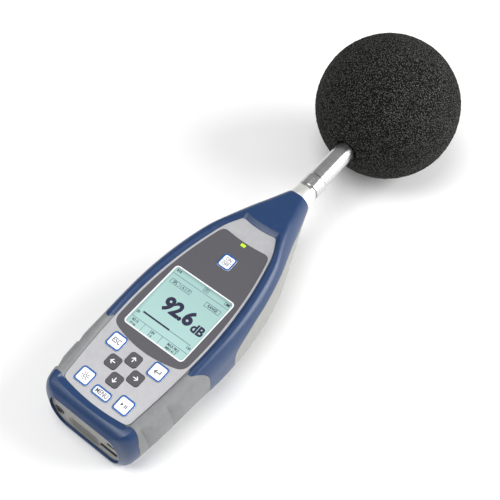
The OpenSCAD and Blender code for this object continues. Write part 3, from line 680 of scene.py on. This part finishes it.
def cavity(name):
    ys = (4, 7, 12, 20, 28, 36, 44, 52, 57, 62, 66, 70, 77, 84, 92, 100, 108, 116, 124, 132, 139,
          146, 151, 156)
    walls = [CAVITY_WALL + GRIP_WALL * max(0, min(1, (70 - y) / 8)) for y in ys]
    return loft(name, [ring(y, w, 8, PLATE_Z - LEDGE) for y, w in zip(ys, walls)])


def neck_bore(name):
    return prism(name, circle(NECK_R), 0, 40, stem(150))


def grip_floor():
    return case_solid("grip_floor", GRIP_T, 4.5, 68, n=12, step=2)


def front_shell():
    """The blue shell: hollow, open at the back, with seats for the grips, plate and tail panel."""
    recesses = [cut(grip_region(f"recess{side}", side, 0.0), ("DIFFERENCE", grip_floor()))
                for side in (-1, 1)]
    window, _ = plate_sides(LEDGE)
    shell = cut(case_solid("front_shell_skin"),
                ("DIFFERENCE", cavity("hollow")),
                *[("DIFFERENCE", b) for b in back_side("split", 0.0, 0.0)],
                ("DIFFERENCE", dish("dish")), ("DIFFERENCE", plate_pocket("pocket")),
                ("DIFFERENCE", prism("window", window, PLATE_Z - 4, PLATE_Z + 2, FLAT)),
                ("DIFFERENCE", prism("recess", tail_outline(PANEL_RIM), PANEL_BED, 5, TAIL)),
                ("DIFFERENCE", prism("tail_hole", tail_outline(PANEL_HOLE), -9, 1, TAIL)),
                ("DIFFERENCE", neck_bore("bore")),
                *[("DIFFERENCE", r) for r in recesses])
    settle(shell, BLUE, "case", "front_shell", slot="blue_shell")


def back_shell():
    """The light grey back, with posts for its screws and the tripod bush and the battery bay."""
    back = cut(case_solid("back_shell_skin"), ("DIFFERENCE", cavity("hollow")))
    side_part, panel_part = back_side("back_region", 0.28, 0.12)
    region = cut(side_part, ("UNION", panel_part))
    tools = [("INTERSECT", region)]
    for i, (x, y) in enumerate(SCREWS):
        post = circle(POST_R, 32, x, y)
        tools.append(("UNION", prism(f"post{i}", post, POST_FOOT, POST_TOP, FLAT)))
    post = circle(TRIPOD_POST_R, 48, 0, TRIPOD_Y)
    tools += [("UNION", prism("tripod_post", post, POST_FOOT, TRIPOD_TOP, FLAT)),
              ("DIFFERENCE", neck_bore("bore")),
              ("DIFFERENCE", block("bay", (-BAY_X, BAY_Y0, -1), (BAY_X, BAY_Y1, 5)))]
    for i, (x, y) in enumerate(SCREWS):
        head, shank = circle(HEAD_R, 32, x, y), circle(SHANK_R, 24, x, y)
        tools += [("DIFFERENCE", prism(f"head{i}", head, -1, HEAD_SINK, FLAT)),
                  ("DIFFERENCE", prism(f"shank{i}", shank, -1, 8, FLAT))]
    bush = circle(TRIPOD_R, 48, 0, TRIPOD_Y)
    tools.append(("DIFFERENCE", prism("bush_hole", bush, -1, 8, FLAT)))
    settle(cut(back, *tools), WARM, "case", "back_shell", slot="grey_back")


def grip(side, name):
    """The scooped skin over one side of the case, kept to the grip's outline."""
    skin = grip_skin(name + "_skin")
    for step in (("DIFFERENCE", grip_floor()), ("INTERSECT", grip_region("keep", side, 0.14)),
                 ("DIFFERENCE", dish("dish")), ("DIFFERENCE", plate_pocket("pocket", 0.2))):
        skin = cut(skin, step)
    settle(skin, RUBBER, "case", name, slot="grip_rubber")


def scoop_depth(y, z):
    """Each finger scoop drops at a straight edge and rises to an arc towards the microphone."""
    deep = 0.0
    for start, middle, half, length in SCOOPS:
        k = (z - middle) / half
        if abs(k) < 1 and y > start:
            reach = length * math.sqrt(1 - k*k)
            if y - start < reach:
                deep = max(deep, (1 - (y - start) / reach) ** SCOOP_FALL * (1 - k**4))
    return deep * SCOOP_DEPTH


def grip_skin(name):
    """The case's skin round the grips, dense enough to carry the scoops."""
    rings = [[(x - math.copysign(scoop_depth(p, z), x), p, z) for x, p, z in ring(y, 0, 44)]
             for y in np.arange(4.5, 66.01, 0.5)]
    return loft(name, rings)


# ---- Face ----
KEYS = {  # name: (x, y, width, height)
    "on_off": (0, 117.15, 8.6, 9.2), "esc": (-14.35, 44.3, 9.6, 9.4),
    "enter": (14.35, 44.3, 9.6, 9.4), "backlight": (-13.44, 19.8, 9.5, 9.4),
    "run": (13.44, 19.8, 9.5, 9.4), "menu": (0, 17.75, 11.5, 5.85),
    "up": (0, 41.7, 7.6, 7.6), "down": (0, 27.3, 7.6, 7.6),
    "left": (-7.84, 34.5, 7.6, 7.6), "right": (7.84, 34.5, 7.6, 7.6)}
ARROWS = {"up": 90, "down": -90, "left": 180, "right": 0}
KEY_R, KEY_GAP, KEY_PROUD, KEY_BEVEL = 1.9, 0.15, 0.3, 0.28
FLANGE_REACH, FLANGE_LOW, FLANGE_HIGH = 0.4, 0.72, 0.12  # beyond the key and under the plate
STEM_FOOT, STEM_R = 30, 1.5  # the key's stem on its switch
RIM_OUT, RIM_WIDE = 0.08, 0.87  # the blue line: from the key's edge, and how wide
FOIL_T, FOIL_BEVEL = 0.5, 0.12
LCD_R = 2.3
LED_AT, LED_SIZE = (0, 131.1), (3.0, 1.8)
LCD_Y, LCD_W, LCD_H = 77.5, 41.0, 44.0


def rotated(points, degrees, x, y):
    """Points turned about their origin, which then goes to (x, y)."""
    c, s = math.cos(math.radians(degrees)), math.sin(math.radians(degrees))
    return [(x + c*u - s*v, y + s*u + c*v) for u, v in points]


def legend(key, x, y, z):
    """The mark on a key, as thin raised print."""
    lines = []
    if key in ARROWS:
        arrow = [([(-1.5, 0), (1.2, 0)], 0.52), ([(0.1, 1.35), (1.45, 0), (0.1, -1.35)], 0.52)]
        lines = [rotated(stroke(p, w), ARROWS[key], x, y) for p, w in arrow]
    elif key == "enter":
        bend = stroke([(1.7, 1.3), (1.7, -0.45), (-1.5, -0.45)], 0.55)
        head = stroke([(-0.5, 0.75), (-1.7, -0.45), (-0.5, -1.65)], 0.55)
        lines = [rotated(p, 0, x, y) for p in (bend, head)]
    elif key == "run":
        bars = [round_rect(0.5, 1.9, 0.1, 2, x + u, y) for u in (0.75, 1.7)]
        lines = [rotated([(-1.9, 0.95), (-1.9, -0.95), (-0.3, 0)], 0, x, y)] + bars
    elif key == "backlight":
        for a in range(0, 360, 45):
            lines.append(rotated(stroke([(1.4, 0), (2.4, 0)], 0.4), a, x, y))
    parts = [slab("mark", [l], z, z + PRINT_T) for l in lines]
    if key == "backlight":
        sun = [circle(1.05, 24, x, y), circle(0.68, 24, x, y)]
        parts.append(slab("mark", sun, z, z + PRINT_T))
    if key == "esc":
        parts.append(text("mark", "ESC", 4.1, x, y, z, narrow=0.8, bold=0.05))
    if key == "menu":
        parts.append(text("mark", "MENU", 3.8, x, y, z, narrow=0.76, bold=0.04))
    if key == "on_off":
        parts.append(text("mark", "ON", 2.9, x, y + 1.65, z, narrow=0.9, bold=0.03))
        parts.append(text("mark", "OFF", 2.9, x, y - 1.75, z, narrow=0.9, bold=0.03))
        parts.append(slab("mark", [stroke([(x - 2.9, y), (x + 2.9, y)], 0.32)], z, z + PRINT_T))
    return join(f"key_{key}_legend", parts)


def build_keys():
    top = FACE_Z + KEY_PROUD
    for key, (x, y, w, h) in KEYS.items():
        dark = key in ARROWS
        body = f"key_{key}"
        cap = slab("cap", [round_rect(w, h, KEY_R, 8, x, y)], PLATE_Z - 0.5, top, KEY_BEVEL, 4)
        wide, high = w + 2*FLANGE_REACH, h + 2*FLANGE_REACH
        flange = slab("flange", [round_rect(wide, high, KEY_R, 8, x, y)],
                      PLATE_Z - FLANGE_LOW, PLATE_Z - FLANGE_HIGH)
        foot = slab("stem", [circle(STEM_R, 24, x, y)], STEM_FOOT, PLATE_Z - 0.7)
        cap = join(f"key_{key}_cap", [cap, flange, foot])
        settle(cap, DARK if dark else WHITE, body, body,
               slot="key_dark" if dark else "key_white", angle=10)
        if not dark:
            inner = 2 * (RIM_OUT + RIM_WIDE)
            rim = slab(f"key_{key}_rim",
                       [round_rect(w - 2*RIM_OUT, h - 2*RIM_OUT, KEY_R - 0.05, 8, x, y),
                        round_rect(w - inner, h - inner, KEY_R - 0.85, 8, x, y)],
                       top - 0.12, top + 0.02)
            settle(rim, RIM, body)
        settle(legend(key, x, y, top), WHITE_INK if dark else INK, body)


def key_hole(key):
    x, y, w, h = KEYS[key]
    return round_rect(w + 2*KEY_GAP, h + 2*KEY_GAP, KEY_R, 8, x, y)


def build_face():
    led_hole = round_rect(LED_SIZE[0] + 0.2, LED_SIZE[1] + 0.2, 0.3, 4, *LED_AT)
    film_hole = round_rect(LCD_W - 1, LCD_H - 1, 0.5, 4, 0, LCD_Y)
    seat = slab("seat", [plate_loop(), *[key_hole(k) for k in KEYS], led_hole, film_hole],
                PLATE_Z, FACE_Z - FOIL_T)
    silver_keys = [key_hole(k) for k in KEYS if k != "on_off"]
    foil = slab("foil", [plate_loop(), bezel_loop(0.05)] + silver_keys,
                FACE_Z - FOIL_T, FACE_Z, FOIL_BEVEL)
    plate = join("face_plate_foil", [seat, foil])
    settle(plate, SILVER, "case", "face_plate", slot="silver_face", angle=10)
    glass_hole = round_rect(LCD_W + 0.1, LCD_H + 0.1, LCD_R, 8, 0, LCD_Y)
    bezel = slab("display_bezel_print", [bezel_loop(), key_hole("on_off"), led_hole, glass_hole],
                 FACE_Z - FOIL_T, FACE_Z, FOIL_BEVEL / 2)
    settle(bezel, BEZEL, "case", "display_bezel", slot="dark_bezel", angle=10)
    outline = slab("display_outline",
                   [round_rect(LCD_W + 0.05, LCD_H + 0.05, LCD_R, 8, 0, LCD_Y),
                    round_rect(LCD_W - 1.35, LCD_H - 1.35, LCD_R - 0.6, 8, 0, LCD_Y)],
                   FACE_Z - 0.45, FACE_Z + 0.03, 0.05)
    settle(outline, WHITE_INK, "case")
    lens = slab("status_lens", [round_rect(LED_SIZE[0], LED_SIZE[1], 0.3, 4, *LED_AT)],
                28, FACE_Z + 0.1, 0.15)
    settle(lens, LED, "case", "status_led", slot="led")


# ---- Display ----
FILM_SINK, FRAME_LINE = 0.35, 0.22


def build_display():
    z = FACE_Z - FILM_SINK
    film = slab("display_film", [round_rect(LCD_W, LCD_H, LCD_R - 0.1, 8, 0, LCD_Y)], z - 0.3, z)
    settle(film, display_material(), "case", "lcd_window", slot="lcd_face")

    def at(u, v):
        """A place on the display: u from its left edge and v from its top, 0 to 1."""
        return (u - 0.5) * LCD_W, LCD_Y + (0.5 - v) * LCD_H

    def box(u, v, w, h):
        return round_rect(w, h, 0.05, 2, *at(u, v))

    def printed(*loops):
        return slab("print", loops, z, z + PRINT_T)

    def line(u0, v0, u1, v1, width):
        return printed(stroke([at(u0, v0), at(u1, v1)], width))

    big = [fitted_text("print", "92.6", 20.3, 9.9, *at(0.483, 0.488), z, 0.45),
           fitted_text("print", "dB", 7.8, 5.8, *at(0.856, 0.548), z, 0.22),
           line(0.12, 0.755, 0.565, 0.755, 1.0)]
    for u, v, w, h in ((0.062, 0.055, 0.7, 1.5), (0.088, 0.055, 0.35, 1.5),
                       (0.112, 0.055, 0.6, 1.5), (0.925, 0.062, 1.9, 1.0)):
        big.append(printed(box(u, v, w, h)))
    settle(join("display_reading", big), LCD_INK, "case")

    fine = [line(0.035, 0.114, 0.975, 0.114, 0.22), line(0.035, 0.868, 0.975, 0.868, 0.22),
            line(0.565, 0.758, 0.93, 0.758, 0.28), line(0.27, 0.868, 0.27, 0.985, 0.18),
            line(0.565, 0.868, 0.565, 0.985, 0.18)]
    for u, v, w, h in ((0.916, 0.062, 3.4, 1.9), (0.16, 0.212, 6.2, 2.9), (0.296, 0.212, 3.1, 2.9),
                       (0.385, 0.212, 3.1, 2.9), (0.80, 0.216, 10.2, 3.0), (0.56, 0.062, 3.4, 2.6)):
        fine.append(printed(box(u, v, w, h), box(u, v, w - 2*FRAME_LINE, h - 2*FRAME_LINE)))
    for words, size, u, v in (
            ("SPL", 2.3, 0.16, 0.212), ("A", 2.3, 0.296, 0.212), ("F", 2.3, 0.385, 0.212),
            ("1/1", 2.0, 0.56, 0.062), ("RANGE", 2.3, 0.80, 0.216), ("30", 2.2, 0.065, 0.79),
            ("130", 2.2, 0.925, 0.80), ("00:15", 2.2, 0.125, 0.905), ("10 ms", 2.0, 0.125, 0.955),
            ("LIN", 2.2, 0.42, 0.905), ("F A", 2.0, 0.42, 0.955), ("MAX 98.2", 2.2, 0.77, 0.905),
            ("MIN 41.7", 2.2, 0.77, 0.955)):
        fine.append(text("print", words, size, *at(u, v), z, narrow=0.85, bold=0.06))
    settle(join("display_fine_print", fine), LCD_FINE, "case")


# ---- Tail ----
JACK, DATA, USB, CARD = (-19.5, 14), (-2, 10.5), (18, 19), (15.6, 13)
PANEL_T = 2


def build_tail():
    """The connector panel, sunk in the tail, with a raised bead round its edge."""
    holes = [circle(3.1, 40, *JACK), round_rect(22.1, 10.1, 4.6, 10, *DATA),
             round_rect(7.5, 3.5, 0.8, 5, *USB), round_rect(11.5, 1.5, 0.1, 2, *CARD)]
    panel = slab("end_panel_cover", [tail_outline(PANEL_RIM + 0.25)] + holes,
                 PANEL_BED, PANEL_BED + PANEL_T, 0.25)
    settle(panel, PANEL, "case", "end_panel", slot="panel_grey", angle=10, matrix=TAIL)
    bead = slab("end_panel_bead", [tail_outline(1.9), tail_outline(2.5)],
                PANEL_BED + PANEL_T - 0.05, PANEL_BED + PANEL_T + 0.25, 0.12)
    settle(bead, PANEL, "case", matrix=TAIL)
    paint(SOCKET, "output_jack")
    paint(RIBBED, "data_socket")
    paint(BRIGHT, "usb_socket", "card_socket")
    paint(BLACK, "memory_card")


# ---- Stem ----
COLLAR_BORE = 4.65
RING_Y, TUBE_Y, MIC_Y = 190.5 - 1.4, 191.5, 262.1
TUBE_END, TUBE_GROOVE = 262 - TUBE_Y, 255 - TUBE_Y
GROOVES, GROOVE_START, GROOVE_PITCH = 4, 3.2, 1.1


def build_stem():
    """Collar, coupling ring, tube and microphone, each a (radius, height) profile turned."""
    collar = lathe("neck_collar_cone", [
        (COLLAR_BORE, -6), (NECK_R, -6), (NECK_R, -0.05), (7.1, -0.05), (7.4, 0.25), (7.38, 0.7),
        (7.2, 0.82), (7.22, 1.15), (7.33, 1.3), (6.62, 8.1), (6.4, 8.5), (COLLAR_BORE, 8.5)],
        closed=True)
    settle(collar, COLLAR, "case", "neck_collar", slot="collar_metal", matrix=stem(NECK_Y))
    grooves = []
    for k in range(GROOVES):
        s = GROOVE_START + GROOVE_PITCH * k
        grooves += [(6.9, s), (6.72, s + 0.2), (6.72, s + 0.4), (6.9, s + 0.6)]
    coupling = lathe("coupling_ring_turned", [
        (5.65, 0), (6.35, 0), (6.5, 0.15), (6.5, 1.05), (6.35, 1.2), (5.95, 1.2), (5.95, 2.0),
        (6.7, 2.0), (6.9, 2.2)] + grooves + [
        (6.9, 9.6), (6.75, 10.0), (6.6, 10.35), (5.65, 10.35)], closed=True)
    settle(coupling, STEEL, "coupling_ring", "coupling_ring", slot="collar_metal",
           matrix=stem(RING_Y))
    tube = lathe("preamp_tube_drawn", [
        (5.15, 3), (5.15, TUBE_END), (6.15, TUBE_END), (6.35, TUBE_END - 0.2),
        (6.35, TUBE_GROOVE), (6.2, TUBE_GROOVE - 0.2), (6.2, TUBE_GROOVE - 0.6),
        (6.35, TUBE_GROOVE - 0.8), (6.35, 8.2), (6.15, 8), (5.6, 8), (5.6, 0), (0.5, 0),
        (0.5, 3)], closed=True)
    settle(tube, STEEL, "preamp", "preamp_tube", slot="stem_metal", matrix=stem(TUBE_Y))
    housing = lathe("mic_housing_turned", [
        (3, 0), (6.3, 0), (6.6, 0.3), (6.6, 3.0), (6.42, 3.15), (6.42, 3.5), (6.6, 3.65),
        (6.6, 13.85), (6.45, 14), (5.8, 14), (5.8, 1), (3, 1)], closed=True)
    settle(housing, BRIGHT, "mic", "mic_housing", slot="mic_metal", matrix=stem(MIC_Y))
    paint(STEEL, "preamp_plug")
    paint(BRIGHT, "mic_grid", "mic_backplate", "mic_diaphragm")
    paint(INSULATOR, "mic_insulator")
    paint(BLOCK, "preamp_socket")
    paint(SLEEVE, "preamp_lead")


# ---- Foam ball ----
BALL_R, BALL_Y = 45.0, 272.5
BORE_R, BORE_LIP = 6.7, 7.7
FOAM_ROWS, FOAM_SEGMENTS = 250, 360
CELL_SIZE, PATCH_SIZE = 1.7, 22
SINK, CELL_DROP, PATCH_DROP = 0.34, 0.26, 0.18


def build_foam():
    """A ball on a blind bore, its surface sunk by fine cells and broad patches of noise."""
    low = math.asin(BORE_LIP / BALL_R)
    profile = [(0, 8.0), (2.5, 8.0), (5, 8.0), (BORE_R, 7.9), (BORE_R, 4), (BORE_R, -4),
               (BORE_R, -14), (BORE_R, -24), (BORE_R, -34), (BORE_R, -42.4), (BORE_R + 0.08, -43.2),
               (BORE_R + 0.3, -43.85), (BORE_R + 0.65, -44.2)]
    for i in range(FOAM_ROWS + 1):
        a = low + (math.pi - low) * i / FOAM_ROWS
        profile.append((BALL_R * math.sin(a), -BALL_R * math.cos(a)))
    ball = lathe("windscreen_foam", profile, FOAM_SEGMENTS)
    me = ball.data
    co = np.empty(len(me.vertices) * 3)
    me.vertices.foreach_get("co", co)
    co = co.reshape(-1, 3)
    for i, p in enumerate(co):
        in_bore = math.hypot(p[0], p[1]) < BORE_R + 0.4
        if in_bore and np.linalg.norm(p) < BALL_R - 1.2:
            continue
        v = Vector(p)
        cells = noise.noise(v / CELL_SIZE) + 0.6 * noise.noise(v / (0.5 * CELL_SIZE))
        drop = SINK - CELL_DROP * cells + PATCH_DROP * noise.noise(v / PATCH_SIZE)
        co[i] = p * (1 - max(0.0, drop) / BALL_R)
    me.vertices.foreach_set("co", co.ravel())
    settle(ball, FOAM, "windscreen", "windscreen", slot="foam", angle=180, matrix=stem(BALL_Y))


# ---- Inside ----
def paint_inside():
    paint(STEEL, "lcd_frame")
    paint(GUIDE, "backlight", "lcd_module")
    paint(BOARD, "front_board", "main_board", "preamp_board")
    paint(BLACK, "tact_switches", "board_connector", "battery_tray")
    paint(CELL, "batteries")
    paint(NICKEL, "battery_contacts")
    paint(WARM, "battery_door")
    paint(BRASS, "tripod_insert")
    paint(ZINC, "case_screws")


front_shell()
back_shell()
grip(-1, "grip_left")
grip(1, "grip_right")
build_face()
build_display()
build_keys()
build_tail()
build_stem()
build_foam()
paint_inside()

# ---- Floor, light and camera ----
FLOOR_HALF, FLOOR_Z = 3.0, -0.0002
floor = mesh_object("studio_floor", [(FLOOR_HALF * x, FLOOR_HALF * y, FLOOR_Z)
                                     for x, y in ((-1, -1), (1, -1), (1, 1), (-1, 1))],
                    [(0, 1, 2, 3)])
floor.data.materials.append(material("pale_floor", srgb(250, 250, 250), vary=0.004, scale=4,
                                     rough=0.8, bump=0.0))


def lamp(name, size, power, place, target):
    """A round soft light, across in metres and power in watts."""
    data = bpy.data.lights.new(name, "AREA")
    data.shape, data.size, data.energy = "DISK", size, power
    ob = bpy.data.objects.new(name, data)
    ob.location = place
    aim = Vector(target) - Vector(place)
    ob.rotation_euler = aim.to_track_quat("-Z", "Y").to_euler()
    bpy.context.scene.collection.objects.link(ob)


lamp("top_light", 1.1, 14.5, (-0.2, -0.42, 1.6), (0, 0.02, 0))
lamp("right_light", 1.1, 23, (1.05, 0.8, 0.68), (0, 0.02, 0.03))
lamp("tail_light", 0.6, 3, (-0.5, -0.85, 1.1), (0, -0.08, 0.02))

ROOM_LIGHT = 0.36
world = bpy.data.worlds.new("studio")
world.use_nodes = True
room = world.node_tree.nodes["Background"]
room.inputs["Color"].default_value = (1, 1, 1, 1)
room.inputs["Strength"].default_value = ROOM_LIGHT
bpy.context.scene.world = world
bpy.context.scene.view_settings.view_transform = "Standard"

# The camera's place and directions in the case's own frame, as fitted to the keys and display.
CAMERA_AT = (202.58, -94.93, 493.13)
CAMERA_RIGHT = (0.77862283, 0.62692625, -0.02664511)
CAMERA_BACK = (0.35987393, -0.41136083, 0.83742046)
SENSOR, LENS = 36, 72
turn = Matrix.Rotation(LIE_ANGLE, 3, "X")
right, back = turn @ Vector(CAMERA_RIGHT), turn @ Vector(CAMERA_BACK)
up = back.cross(right)
cam_data = bpy.data.cameras.new("camera")
cam_data.sensor_width, cam_data.lens = SENSOR, LENS
cam_data.clip_start = 0.01
camera = bpy.data.objects.new("camera", cam_data)
camera.matrix_world = (Matrix.Translation(LAY @ Vector(CAMERA_AT))
                       @ Matrix((right, up, back)).transposed().to_4x4())
bpy.context.scene.collection.objects.link(camera)
bpy.context.scene.camera = camera
